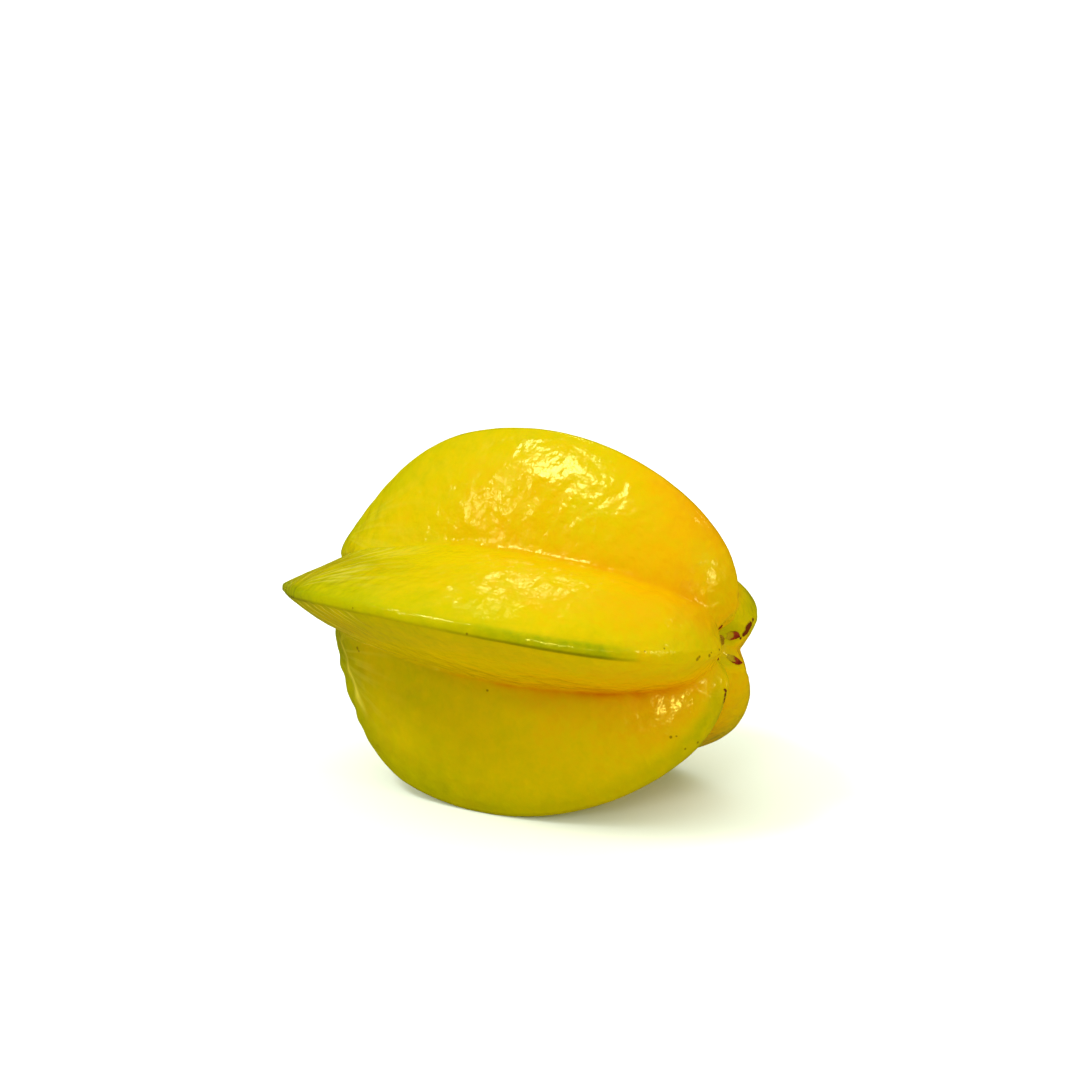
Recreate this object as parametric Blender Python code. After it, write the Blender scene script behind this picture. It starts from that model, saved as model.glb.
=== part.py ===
"""Star fruit (carambola), picked and lying on its side on two of its five ribs.

The fruit's own axis runs along X: blossom end at -X, stem end at +X.
Each rib is a fin with a narrow flat crest and two swollen flanks, and the flanks
of neighbouring ribs meet in a crease, called the valley.
The stub of the stalk and five dried sepals sit in the shallow pit at the stem end.
Lengths below are in millimetres and are turned to metres as each mesh is made.
"""

import math

import bmesh
import bpy
import numpy as np

MM = 0.001

# Crest line of a rib, seen from the side, as four cubic curves: blossom pit to fin tip,
# to belly, to stem shoulder, to stem pit. Each point is its distance along the axis
# and its distance from the axis, and the middle two of each curve are its handles.
BLOSSOM_PIT_X = -40.5
STEM_PIT_X = 43.0
FIN_TIP = (-51.7, 9.5)
CREST_BELLY = (-1.7, 43.8)
CREST_SHOULDER = (47.8, 9.0)
CREST_CURVES = (
    ((BLOSSOM_PIT_X, 0.0), (BLOSSOM_PIT_X, 3.1), (-50.2, 5.0), FIN_TIP),
    (FIN_TIP, (-37.8, 29.6), (-29.7, 43.8), CREST_BELLY),
    (CREST_BELLY, (19.6, 43.8), (47.5, 31.0), CREST_SHOULDER),
    (CREST_SHOULDER, (47.8, 6.0), (STEM_PIT_X, 4.2), (STEM_PIT_X, 0.0)),
)
# Valley line between two ribs, given in the same way.
VALLEY_RIM = (-40.7, 14.9)
VALLEY_BELLY = (1.7, 21.8)
VALLEY_SHOULDER = (46.0, 6.5)
VALLEY_CURVES = (
    ((BLOSSOM_PIT_X, 0.0), (BLOSSOM_PIT_X, 3.5), (-40.2, 10.4), VALLEY_RIM),
    (VALLEY_RIM, (-31.2, 17.7), (-13.9, 21.8), VALLEY_BELLY),
    (VALLEY_BELLY, (19.6, 21.8), (46.0, 19.0), VALLEY_SHOULDER),
    (VALLEY_SHOULDER, (46.0, 4.2), (STEM_PIT_X, 3.4), (STEM_PIT_X, 0.0)),
)

# Ribs in turn round the axis: degrees up from the front, share of the full height,
# how much further the fin tip reaches (mm), how much further the stem shoulder reaches
# (mm), how far the belly sits towards the stem (mm), and the slow twist along the
# fruit (degrees at the end of a half length, then degrees of even bow).
RIBS = {
    "front": (10.7, 1.017, 6.6, 1.0, 0.0, -3.2, -2.2),
    "top": (94.0, 0.935, -0.4, 0.6, 1.3, -1.8, 0.0),
    "back_upper": (169.0, 0.900, 0.0, 0.0, 0.0, 0.3, 0.0),
    "back_lower": (232.4, 1.088, 0.0, 0.6, 2.5, 1.0, 0.7),
    "front_lower": (300.4, 1.000, -2.4, 0.9, 1.8, -1.2, 1.3),
}
RIB_NAMES = list(RIBS)
HALF_LENGTH = 43.5
# A fin that reaches further also lifts its tip off the axis, by this share.
TIP_LIFT_PER_REACH = 0.42
# Where along the axis the reach of the tips and of the stem shoulders sets in, and
# over what length it grows.
TIP_REACH_FROM = -21.8
TIP_REACH_OVER = 30.5
SHOULDER_REACH_FROM = 25.0
SHOULDER_REACH_OVER = 20.0
# Distances from the axis at which a rib's own height, the height of a valley, and the
# reach of a shoulder count in full. They fade out towards the pits.
FULL_CREST_RADIUS = 26.0
FULL_VALLEY_RADIUS = 17.4
FULL_SHOULDER_RADIUS = 6.0

# The crest is a narrow flat band, which thins out towards the pits.
CREST_HALF_WIDTH = 1.3
CREST_BAND_DROP = 0.25
FULL_BAND_RADIUS = 22.0
BAND_SHARE = 0.06

# Swell of the flanks as a share of their width, and the stations where it changes.
FLANK_SWELL = 0.07
SHOULDER_SWELL = 0.15
SWELL_RISE_FROM = 2.2
SWELL_RISE_OVER = 0.8
SWELL_TOWARDS_CREST = 0.3

# Steps along the four stretches: blossom pit, blossom half, stem half, stem pit.
STATIONS = (5, 13, 13, 6)
FLANK_STEPS = (0.0, 0.12, 0.28, 0.46, 0.64, 0.82, 1.0)

# The fruit's weight flattens the lowest spots of the two ribs it lies on.
REST_FLAT_DEPTH = 0.40

# Stub of the stalk: height above its foot and share of its radius at each ring.
STUB_RADIUS = 1.4
STUB_LENGTH = 1.4
STUB_PROFILE = ((0.0, 1.05), (0.4, 1.02), (0.8, 0.92), (1.1, 0.96), (STUB_LENGTH, 0.80))
STUB_SIDES = 18
STUB_RIDGE = 0.06
STUB_BREAK_SLOPE = 0.25
STUB_LEAN_DEG = 10.0
STUB_RISE = 0.6
PIECE_GAP = 0.4

# Dried sepals: station and place across the rib where each starts and where its tip lies,
# and steps along and across.
SEPAL_THICKNESS = 0.45
SEPAL_HALF_WIDTH_SHARE = 0.38
SEPAL_RUNS = {
    "front": ((3.76, 0.0), (3.63, 0.0)),
    "top": ((3.76, 0.0), (3.63, 0.0)),
    "back_upper": ((3.62, 0.10), (3.29, 0.30)),
    "back_lower": ((3.58, 0.0), (3.22, -0.18)),
    "front_lower": ((3.76, 0.0), (3.63, 0.0)),
}
SEPAL_LENGTH_STEPS = 7
SEPAL_WIDTH_STEPS = 4


def bezier(points, share):
    """Point at this share of a cubic curve given by its four control points."""
    a, b, c, d = (np.array(point, float) for point in points)
    rest = 1.0 - share
    return rest**3 * a + 3 * rest**2 * share * b + 3 * rest * share**2 * c + share**3 * d


def along(curves, station):
    """Point on a line at a station from 0 (blossom pit) to 4 (stem pit)."""
    stretch = min(int(station), 3)
    return bezier(curves[stretch], station - stretch)


def rib_angle(name, x):
    """Angle of a rib at distance x along the axis, with its twist and bow."""
    base, _, _, _, _, twist, bow = RIBS[name]
    share = x / HALF_LENGTH
    return math.radians(base + twist * share + bow * (share * share - 0.3))


def turned(x, radius, angle):
    """Point at this distance from the axis, with the angle counted up from the front."""
    return np.array([x, -radius * math.cos(angle), radius * math.sin(angle)])


def faded(share):
    """The share kept between none and all."""
    return min(max(share, 0.0), 1.0)


def crest_point(name, station):
    """Distance along the axis and from it of a rib's crest, with the rib's own shape."""
    _, height, reach, shoulder, lean, _, _ = RIBS[name]
    x, radius = along(CREST_CURVES, station)
    near_tip = faded((TIP_REACH_FROM - x) / TIP_REACH_OVER)
    near_stem = faded((x - SHOULDER_REACH_FROM) / SHOULDER_REACH_OVER) ** 2
    near_stem *= faded(radius / FULL_SHOULDER_RADIUS)
    x += lean * (radius / CREST_BELLY[1]) ** 5 - reach * near_tip + shoulder * near_stem
    radius *= 1.0 + (height - 1.0) * faded(radius / FULL_CREST_RADIUS)
    radius += TIP_LIFT_PER_REACH * reach * near_tip * faded(radius / FIN_TIP[1])
    return x, radius


def valley_point(name, other, station):
    """The same for the valley between two ribs, which takes their mean height."""
    x, radius = along(VALLEY_CURVES, station)
    height = 0.5 * (RIBS[name][1] + RIBS[other][1])
    radius *= 1.0 + (height - 1.0) * faded(radius / FULL_VALLEY_RADIUS)
    return x, radius


def swell_at(station):
    """Swell of the flanks: slight on the blossom half, fuller on the stem shoulder."""
    rise = faded((station - SWELL_RISE_FROM) / SWELL_RISE_OVER)
    return FLANK_SWELL + (SHOULDER_SWELL - FLANK_SWELL) * rise


def skin_point(name, station, across):
    """Point on a rib: across is 0 on the crest and -1 or 1 in the two valleys."""
    order = RIB_NAMES.index(name)
    side = 1 if across >= 0 else -1
    other = RIB_NAMES[(order + side) % len(RIB_NAMES)]
    x, radius = crest_point(name, station)
    valley_x, valley_radius = valley_point(name, other, station)
    angle = rib_angle(name, x)
    gap = (rib_angle(other, x) - angle + math.pi) % (2 * math.pi) - math.pi
    crest = turned(x, radius, angle)
    valley = turned(valley_x, valley_radius, angle + 0.5 * gap)
    outward = turned(0.0, 1.0, angle)
    sideways = turned(0.0, 1.0, angle + math.copysign(0.5 * math.pi, gap))
    half_width = CREST_HALF_WIDTH * faded(radius / FULL_BAND_RADIUS)
    edge = crest - CREST_BAND_DROP * half_width * outward + half_width * sideways
    share = abs(across)
    if share <= BAND_SHARE:
        return crest + (edge - crest) * share / BAND_SHARE
    share = (share - BAND_SHARE) / (1.0 - BAND_SHARE)
    run = valley - edge
    length = float(np.linalg.norm(run))
    normal = np.cross(run / max(length, 1e-6), (1.0, 0.0, 0.0))
    if float(np.dot(normal, sideways)) < 0.0:
        normal = -normal
    lift = swell_at(station) * length * faded(radius / FULL_CREST_RADIUS)
    bow = 4.0 * share * (1.0 - share) * (1.0 - SWELL_TOWARDS_CREST * share)
    return edge + run * share + normal * lift * bow


def station_list():
    """Stations along the fruit, both pit centres left out."""
    stations = []
    for stretch, steps in enumerate(STATIONS):
        stations += [stretch + step / steps for step in range(steps)]
    return stations[1:]


def across_list():
    """Places across one rib from its own valley edge to just short of the next."""
    flank = [BAND_SHARE + (1.0 - BAND_SHARE) * step for step in FLANK_STEPS]
    return [-share for share in reversed(flank)] + [0.0] + flank[:-1]


def fruit_mesh():
    """Rings of points round the fruit and the two pit centres, with their faces."""
    points = []
    rings = []
    for station in station_list():
        ring = []
        for name in RIB_NAMES:
            for across in across_list():
                ring.append(len(points))
                points.append(skin_point(name, station, across))
        rings.append(ring)
    first = len(points)
    points.append(turned(BLOSSOM_PIT_X, 0.0, 0.0))
    points.append(turned(STEM_PIT_X, 0.0, 0.0))
    faces = []
    around = len(rings[0])
    for ring, following in zip(rings, rings[1:]):
        for i in range(around):
            j = (i + 1) % around
            faces.append((ring[i], ring[j], following[j], following[i]))
    for i in range(around):
        j = (i + 1) % around
        faces.append((first, rings[0][j], rings[0][i]))
        faces.append((first + 1, rings[-1][i], rings[-1][j]))
    return np.array(points), faces


def skin_normal(name, station, across):
    """Outward normal of the skin, from two short steps along it."""
    step = 0.02
    along_skin = skin_point(name, station + step, across) - skin_point(name, station - step, across)
    across_skin = skin_point(name, station, across + step) - skin_point(name, station, across - step)
    normal = np.cross(along_skin, across_skin)
    normal /= np.linalg.norm(normal)
    return normal if normal[0] > 0.0 else -normal


def sepal_mesh(name):
    """A dried sepal lying along the inner slope of one rib, base towards the stub."""
    top = []
    bottom = []
    for i in range(SEPAL_LENGTH_STEPS + 1):
        share = i / SEPAL_LENGTH_STEPS
        (start, start_across), (tip, tip_across) = SEPAL_RUNS[name]
        station = start + (tip - start) * share
        middle = start_across + (tip_across - start_across) * share
        reach = SEPAL_HALF_WIDTH_SHARE * min(1.0, 0.55 + 1.2 * share) * (1.0 - share**2.2) + 0.03
        for j in range(SEPAL_WIDTH_STEPS + 1):
            across = middle + reach * (2.0 * j / SEPAL_WIDTH_STEPS - 1.0)
            place = skin_point(name, station, across)
            normal = skin_normal(name, station, middle + 0.01)
            bottom.append(place + normal * PIECE_GAP)
            top.append(place + normal * (PIECE_GAP + SEPAL_THICKNESS))
    return leaf_shell(top, bottom, SEPAL_LENGTH_STEPS, SEPAL_WIDTH_STEPS)


def leaf_shell(top, bottom, lengths, widths):
    """Closed faces for a thin leaf given its two grids of points."""
    count = len(top)
    row = widths + 1
    faces = []
    for i in range(lengths):
        for j in range(widths):
            a = i * row + j
            faces.append((a, a + 1, a + row + 1, a + row))
            faces.append((count + a, count + a + row, count + a + row + 1, count + a + 1))
    rim = [j for j in range(widths)]
    rim += [i * row + widths for i in range(lengths)]
    rim += [lengths * row + j for j in range(widths, 0, -1)]
    rim += [i * row for i in range(lengths, 0, -1)]
    for a, b in zip(rim, rim[1:] + rim[:1]):
        faces.append((b, a, count + a, count + b))
    return np.array(top + bottom), faces


def stub_mesh():
    """The broken stub of the stalk: a short leaning rod, flared where it joins."""
    around = STUB_SIDES
    lean = math.tan(math.radians(STUB_LEAN_DEG))
    points = []
    for height, share in STUB_PROFILE:
        for i in range(around):
            angle = 2.0 * math.pi * i / around
            radius = STUB_RADIUS * share * (1.0 + STUB_RIDGE * math.cos(3.0 * angle + height))
            broken = STUB_BREAK_SLOPE * math.cos(angle - 0.8) * (height / STUB_LENGTH) ** 4
            x = STEM_PIT_X + STUB_RISE + height + broken
            points.append(turned(x, radius, angle) + np.array([0.0, 0.0, lean * height]))
    faces = []
    for k in range(len(STUB_PROFILE) - 1):
        for i in range(around):
            j = (i + 1) % around
            faces.append((k * around + i, k * around + j, (k + 1) * around + j, (k + 1) * around + i))
    faces.append(tuple(range(around - 1, -1, -1)))
    last = (len(STUB_PROFILE) - 1) * around
    faces.append(tuple(last + i for i in range(around)))
    return np.array(points), faces


def coat(name, colour, roughness):
    """A material with one colour and one roughness."""
    material = bpy.data.materials.new(name)
    material.use_nodes = True
    shader = material.node_tree.nodes["Principled BSDF"]
    shader.inputs["Base Color"].default_value = (*colour, 1.0)
    shader.inputs["Roughness"].default_value = roughness
    shader.inputs["Metallic"].default_value = 0.0
    material.diffuse_color = (*colour, 1.0)
    return material


def flatten_underside(work):
    """Cuts the mesh off at height 0 and closes the flat spots that the cut leaves."""
    everything = work.verts[:] + work.edges[:] + work.faces[:]
    bmesh.ops.bisect_plane(
        work, geom=everything, plane_co=(0.0, 0.0, 0.0), plane_no=(0.0, 0.0, -1.0), clear_outer=True
    )
    open_edges = [edge for edge in work.edges if edge.is_boundary]
    bmesh.ops.holes_fill(work, edges=open_edges)


def place(name, points, faces, material):
    """A named object from points in millimetres, faces turned outwards."""
    mesh = bpy.data.meshes.new(name)
    mesh.from_pydata([tuple(point * MM) for point in points], [], faces)
    work = bmesh.new()
    work.from_mesh(mesh)
    if name == "fruit":
        flatten_underside(work)
    bmesh.ops.recalc_face_normals(work, faces=work.faces)
    work.to_mesh(mesh)
    work.free()
    for polygon in mesh.polygons:
        polygon.use_smooth = True
    mesh.materials.append(material)
    thing = bpy.data.objects.new(name, mesh)
    bpy.context.scene.collection.objects.link(thing)
    return thing


def build():
    """Clears the scene, then places every piece with the origin under the middle."""
    for thing in list(bpy.data.objects):
        bpy.data.objects.remove(thing, do_unlink=True)
    pieces = {"fruit": fruit_mesh(), "stem_stub": stub_mesh()}
    for number, name in enumerate(RIB_NAMES, 1):
        pieces[f"sepal_{number}"] = sepal_mesh(name)
    everything = np.vstack([points for points, _ in pieces.values()])
    low = everything.min(axis=0)
    high = everything.max(axis=0)
    origin = np.array([0.5 * (low[0] + high[0]), 0.5 * (low[1] + high[1]), low[2] + REST_FLAT_DEPTH])
    coats = {
        "fruit": coat("yellow_skin", (0.78, 0.62, 0.02), 0.35),
        "stem_stub": coat("dry_stalk", (0.20, 0.09, 0.04), 0.80),
        "sepal": coat("dried_sepal", (0.12, 0.03, 0.02), 0.80),
    }
    for name, (points, faces) in pieces.items():
        material = coats.get(name, coats["sepal"])
        place(name, points - origin, faces, material)


build()
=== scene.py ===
"""Looks of a ripe star fruit lying on its side, made around its CAD frame."""
import math

import bmesh
import bpy
import numpy as np
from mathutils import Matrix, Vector, noise


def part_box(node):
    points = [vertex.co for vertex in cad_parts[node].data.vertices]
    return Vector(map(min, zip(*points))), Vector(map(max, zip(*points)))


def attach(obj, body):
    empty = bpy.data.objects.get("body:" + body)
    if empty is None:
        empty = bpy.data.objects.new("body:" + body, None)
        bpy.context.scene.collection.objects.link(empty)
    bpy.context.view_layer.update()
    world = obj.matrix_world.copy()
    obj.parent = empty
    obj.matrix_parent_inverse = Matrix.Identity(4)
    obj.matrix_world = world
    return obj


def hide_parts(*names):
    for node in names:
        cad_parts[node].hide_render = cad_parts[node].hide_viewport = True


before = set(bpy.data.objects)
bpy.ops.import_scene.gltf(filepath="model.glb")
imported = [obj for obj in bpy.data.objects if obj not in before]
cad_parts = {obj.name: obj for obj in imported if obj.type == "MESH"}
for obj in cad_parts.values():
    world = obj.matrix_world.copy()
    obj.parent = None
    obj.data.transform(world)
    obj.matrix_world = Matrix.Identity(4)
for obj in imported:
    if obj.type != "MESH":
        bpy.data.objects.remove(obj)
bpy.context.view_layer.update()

# --------------------------------------------------------------------------------------
# Skin of the fruit.
# A carambola grows in one piece: five fins round an axis, each with a narrow hard crest
# and two swollen flanks that meet the next fin's in a crease. The skin is thin, waxy and
# slightly uneven over the cells under it, and it lies flat where the fruit rests.
# --------------------------------------------------------------------------------------

# Sizes are in millimetres, and this turns them to metres in meshes and materials.
MM = 0.001

# Crest line of a rib from the side, as four cubic curves: blossom pit to fin tip, to
# belly, to stem shoulder, to stem pit. Points are distances along and from the axis.
BLOSSOM_PIT_X = -40.5
STEM_PIT_X = 43.0
FIN_TIP = (-51.7, 9.5)
CREST_BELLY = (-1.7, 43.8)
CREST_SHOULDER = (47.8, 9.0)
CREST_CURVES = (
    ((BLOSSOM_PIT_X, 0.0), (BLOSSOM_PIT_X, 3.1), (-50.2, 5.0), FIN_TIP),
    (FIN_TIP, (-37.8, 29.6), (-29.7, 43.8), CREST_BELLY),
    (CREST_BELLY, (19.6, 43.8), (47.5, 31.0), CREST_SHOULDER),
    (CREST_SHOULDER, (47.8, 6.0), (STEM_PIT_X, 4.2), (STEM_PIT_X, 0.0)),
)
# Valley line between two ribs, given in the same way.
VALLEY_RIM = (-40.7, 14.9)
VALLEY_BELLY = (1.7, 21.8)
VALLEY_SHOULDER = (46.0, 6.5)
VALLEY_CURVES = (
    ((BLOSSOM_PIT_X, 0.0), (BLOSSOM_PIT_X, 3.5), (-40.2, 10.4), VALLEY_RIM),
    (VALLEY_RIM, (-31.2, 17.7), (-13.9, 21.8), VALLEY_BELLY),
    (VALLEY_BELLY, (19.6, 21.8), (46.0, 19.0), VALLEY_SHOULDER),
    (VALLEY_SHOULDER, (46.0, 4.2), (STEM_PIT_X, 3.4), (STEM_PIT_X, 0.0)),
)
# Ribs in turn round the axis: degrees up from the front, share of the full height, how
# much further the tip and the stem shoulder reach and how far the belly leans (mm), then
# the slow twist and bow along the fruit (degrees).
RIBS = {
    "front": (10.7, 1.017, 6.6, 1.0, 0.0, -3.2, -2.2),
    "top": (94.0, 0.935, -0.4, 0.6, 1.3, -1.8, 0.0),
    "back_upper": (169.0, 0.900, 0.0, 0.0, 0.0, 0.3, 0.0),
    "back_lower": (232.4, 1.088, 0.0, 0.6, 2.5, 1.0, 0.7),
    "front_lower": (300.4, 1.000, -2.4, 0.9, 1.8, -1.2, 1.3),
}
RIB_NAMES = list(RIBS)
HALF_LENGTH = 43.5
# The bow counts from this share of it, and the lean grows with this power of the height.
BOW_REST = 0.3
LEAN_POWER = 5
# A tip that reaches further also rises. Where tips and shoulders begin to reach, and over
# what length.
TIP_LIFT_PER_REACH = 0.42
TIP_REACH_FROM = -21.8
TIP_REACH_OVER = 30.5
SHOULDER_REACH_FROM = 25.0
SHOULDER_REACH_OVER = 20.0
# Distances from the axis at which heights, shoulder reach and band width count in full.
FULL_CREST_RADIUS = 26.0
FULL_VALLEY_RADIUS = 17.4
FULL_SHOULDER_RADIUS = 6.0
FULL_BAND_RADIUS = 22.0
CREST_HALF_WIDTH = 1.3
CREST_BAND_DROP = 0.25
BAND_SHARE = 0.06
FLANK_SWELL = 0.07
SHOULDER_SWELL = 0.15
SWELL_RISE_FROM = 2.2
SWELL_RISE_OVER = 0.8
SWELL_TOWARDS_CREST = 0.3

# Rings along each of the four stretches, and steps across half a crest and one flank.
STATION_STEPS = (26, 100, 100, 28)
BAND_STEPS = 5
FLANK_STEPS = 30
EASED_SHARE = 0.25


def faded(share):
    """The share, held between 0 and 1."""
    return np.clip(share, 0.0, 1.0)


def soft_step(value, low, high):
    """A smooth rise from 0 at low to 1 at high."""
    share = faded((value - low) / (high - low))
    return share * share * (3.0 - 2.0 * share)


def hump(value, middle, width):
    """A soft bump of height 1 round the middle, this wide to either side."""
    return np.exp(-(((value - middle) / width) ** 2))


def line_at(curves, station):
    """Distances along and from the axis at stations from 0 to 4 of a crest or valley."""
    stretch = np.minimum(station.astype(int), 3)
    share = (station - stretch)[..., None]
    rest = 1.0 - share
    a, b, c, d = np.moveaxis(np.array(curves)[stretch], -2, 0)
    place = rest**3 * a + 3 * rest**2 * share * b + 3 * rest * share**2 * c + share**3 * d
    return place[..., 0], place[..., 1]


def rib_angle(name, x):
    """Which way a rib's crest points at each place along the axis, twist and bow included."""
    base, _, _, _, _, twist, bow = RIBS[name]
    share = x / HALF_LENGTH
    return np.radians(base + twist * share + bow * (share * share - BOW_REST))


def turned(x, radius, angle):
    """Points at this distance from the axis, the angle counted up from the front."""
    x, radius, angle = np.broadcast_arrays(x, radius, angle)
    return np.stack([x, -radius * np.cos(angle), radius * np.sin(angle)], axis=-1)


def crest_line(name, station):
    """Distances along and from the axis at stations of one rib's own crest."""
    _, height, reach, shoulder, lean, _, _ = RIBS[name]
    x, radius = line_at(CREST_CURVES, station)
    near_tip = faded((TIP_REACH_FROM - x) / TIP_REACH_OVER)
    near_stem = faded((x - SHOULDER_REACH_FROM) / SHOULDER_REACH_OVER) ** 2
    near_stem = near_stem * faded(radius / FULL_SHOULDER_RADIUS)
    x = x + lean * (radius / CREST_BELLY[1]) ** LEAN_POWER
    x = x - reach * near_tip + shoulder * near_stem
    radius = radius * (1.0 + (height - 1.0) * faded(radius / FULL_CREST_RADIUS))
    return x, radius + TIP_LIFT_PER_REACH * reach * near_tip * faded(radius / FIN_TIP[1])


def valley_line(name, other, station):
    """Distances along and from the axis at stations of the valley between two ribs."""
    x, radius = line_at(VALLEY_CURVES, station)
    height = 0.5 * (RIBS[name][1] + RIBS[other][1])
    return x, radius * (1.0 + (height - 1.0) * faded(radius / FULL_VALLEY_RADIUS))


def half_rib(name, side, station, share):
    """Points on one side of a rib, share 0 on the crest and 1 in the valley."""
    other = RIB_NAMES[(RIB_NAMES.index(name) + side) % len(RIB_NAMES)]
    x, radius = crest_line(name, station)
    angle = rib_angle(name, x)
    gap = (rib_angle(other, x) - angle + math.pi) % (2 * math.pi) - math.pi
    crest = turned(x, radius, angle)
    valley = turned(*valley_line(name, other, station), angle + 0.5 * gap)
    outward = turned(0.0, 1.0, angle)
    sideways = turned(0.0, 1.0, angle + side * 0.5 * math.pi)
    half_width = (CREST_HALF_WIDTH * faded(radius / FULL_BAND_RADIUS))[..., None]
    band = np.minimum(share / BAND_SHARE, 1.0)[..., None]
    edge = crest + half_width * (band * sideways - CREST_BAND_DROP * band**2 * outward)
    flank = faded((share - BAND_SHARE) / (1.0 - BAND_SHARE))
    run = valley - edge
    length = np.maximum(np.linalg.norm(run, axis=-1), 1e-6)
    normal = np.cross(run / length[..., None], (1.0, 0.0, 0.0))
    normal *= np.sign((normal * sideways).sum(axis=-1, keepdims=True))
    rise = faded((station - SWELL_RISE_FROM) / SWELL_RISE_OVER)
    swell = FLANK_SWELL + (SHOULDER_SWELL - FLANK_SWELL) * rise
    lift = swell * length * faded(radius / FULL_CREST_RADIUS)
    bow = 4.0 * flank * (1.0 - flank) * (1.0 - SWELL_TOWARDS_CREST * flank)
    return edge + run * flank[..., None] + normal * (lift * bow)[..., None]


def skin_at(name, station, across):
    """Points on a rib: across is 0 on the crest and -1 or 1 in the two valleys."""
    station, across = np.broadcast_arrays(np.asarray(station, float), across)
    share = np.abs(across)
    up = half_rib(name, 1, station, share)
    down = half_rib(name, -1, station, share)
    return np.where((across >= 0.0)[..., None], up, down)


def skin_grid():
    """Stations of the rings, and each ring place as a rib number and its place across."""
    stations = np.concatenate(
        [stretch + np.arange(steps) / steps for stretch, steps in enumerate(STATION_STEPS)]
    )[1:]
    even = np.arange(1, FLANK_STEPS + 1) / FLANK_STEPS
    eased = EASED_SHARE * (0.5 - 0.5 * np.cos(math.pi * even)) + (1.0 - EASED_SHARE) * even
    band = BAND_SHARE * np.arange(1, BAND_STEPS + 1) / BAND_STEPS
    half = np.concatenate([band, BAND_SHARE + (1.0 - BAND_SHARE) * eased])
    places = np.concatenate([-half[::-1], [0.0], half[:-1]])
    return stations, places


def neighbours(values, axis=1):
    """The values before and after, round each ring or, for axis 0, along the fruit."""
    return np.roll(values, 1, axis=axis), np.roll(values, -1, axis=axis)


def rounded(points, share, times, axis=1):
    """The points pulled towards their neighbours, where share is above 0."""
    for _ in range(times):
        before, after = neighbours(points, axis)
        to_before = np.linalg.norm(points - before, axis=-1, keepdims=True) + 1e-9
        to_after = np.linalg.norm(points - after, axis=-1, keepdims=True) + 1e-9
        middle = (before * to_after + after * to_before) / (to_before + to_after)
        points = points + 0.5 * share[..., None] * (middle - points)
    return points


def ring_distance(points, start_columns):
    """Distance round each ring to the nearest of some columns, in millimetres."""
    _, after = neighbours(points)
    steps = np.linalg.norm(after - points, axis=-1)
    total = steps.sum(axis=1, keepdims=True)
    travelled = np.cumsum(steps, axis=1) - steps
    nearest = np.full(travelled.shape, np.inf)
    for column in start_columns:
        gap = np.abs(travelled - travelled[:, column : column + 1])
        nearest = np.minimum(nearest, np.minimum(gap, total - gap))
    return nearest


def grid_normals(points):
    """Outward normals of a grid of rings."""
    before, after = neighbours(points)
    along = np.gradient(points, axis=0)
    normals = np.cross(along, after - before)
    normals /= np.linalg.norm(normals, axis=-1, keepdims=True) + 1e-12
    return normals


# How far apart in the noise one seed lies from the next.
SEED_STEP = (17.3, 5.1, 9.7)


def noise_at(points, size, seed):
    """Smooth noise from -1 to 1 with features of this size, in millimetres."""
    flat = (points / size + np.array(SEED_STEP) * seed).reshape(-1, 3)
    values = np.fromiter((noise.noise(Vector(p)) for p in flat.tolist()), float, len(flat))
    return values.reshape(points.shape[:-1])


stations, places = skin_grid()
columns_per_rib = len(places)
ribs_over_rings = [skin_at(name, stations[:, None], places[None, :]) for name in RIB_NAMES]
skin = np.concatenate(ribs_over_rings, axis=1)
valley_columns = [number * columns_per_rib for number in range(len(RIB_NAMES))]
crest_columns = [column + BAND_STEPS + FLANK_STEPS for column in valley_columns]
crest_mm = ring_distance(skin, crest_columns)
valley_mm = ring_distance(skin, valley_columns)

# The crest's edges are worn round and the creases are filled a little by the flesh.
EDGE_ROUND_MM = 0.9
EDGE_ROUND_TIMES = 3
CREASE_ROUND_MM = 2.2
CREASE_ROUND_TIMES = 10
near_edge = hump(crest_mm, CREST_HALF_WIDTH, EDGE_ROUND_MM)
near_crease = hump(valley_mm, 0.0, CREASE_ROUND_MM)
skin = rounded(skin, faded(near_edge), EDGE_ROUND_TIMES)
skin = rounded(skin, faded(near_crease), CREASE_ROUND_TIMES)

# The skin's box before the uneven swelling lines up with the CAD solid's sides and top.
fruit_low, fruit_high = (np.array(corner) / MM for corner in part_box("fruit"))
skin_low = skin.reshape(-1, 3).min(axis=0)
skin_high = skin.reshape(-1, 3).max(axis=0)
into_frame = 0.5 * (fruit_low + fruit_high - skin_low - skin_high)
into_frame[2] = fruit_high[2] - skin_high[2]

# Which rib each column belongs to, how far along the crest each ring lies, and the
# distance from the crest with its sign, above 0 towards the next rib.
rib_of_column = np.repeat(np.arange(len(RIB_NAMES)), columns_per_rib)
side_of_column = np.tile(np.sign(places), len(RIB_NAMES))
station_grid = np.broadcast_to(stations[:, None], skin.shape[:2])
crest_side_mm = crest_mm * side_of_column[None, :]


def per_rib(table, default=0.0):
    """One value for each column, from a table by rib."""
    return np.array([table.get(name, default) for name in RIB_NAMES])[rib_of_column][None, :]


def along_rib(table):
    """Values over the whole skin, from (station, value) pairs for each rib."""
    values = np.zeros(skin.shape[:2])
    for number, name in enumerate(RIB_NAMES):
        at, level = zip(*table[name])
        values[:, rib_of_column == number] = np.interp(stations, at, level)[:, None]
    return values


def grid_place(rib, station, across):
    """Ring and column of the point nearest to a station and a place across a rib."""
    column = RIB_NAMES.index(rib) * columns_per_rib + int(np.abs(places - across).argmin())
    return int(np.abs(stations - station).argmin()), column


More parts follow.
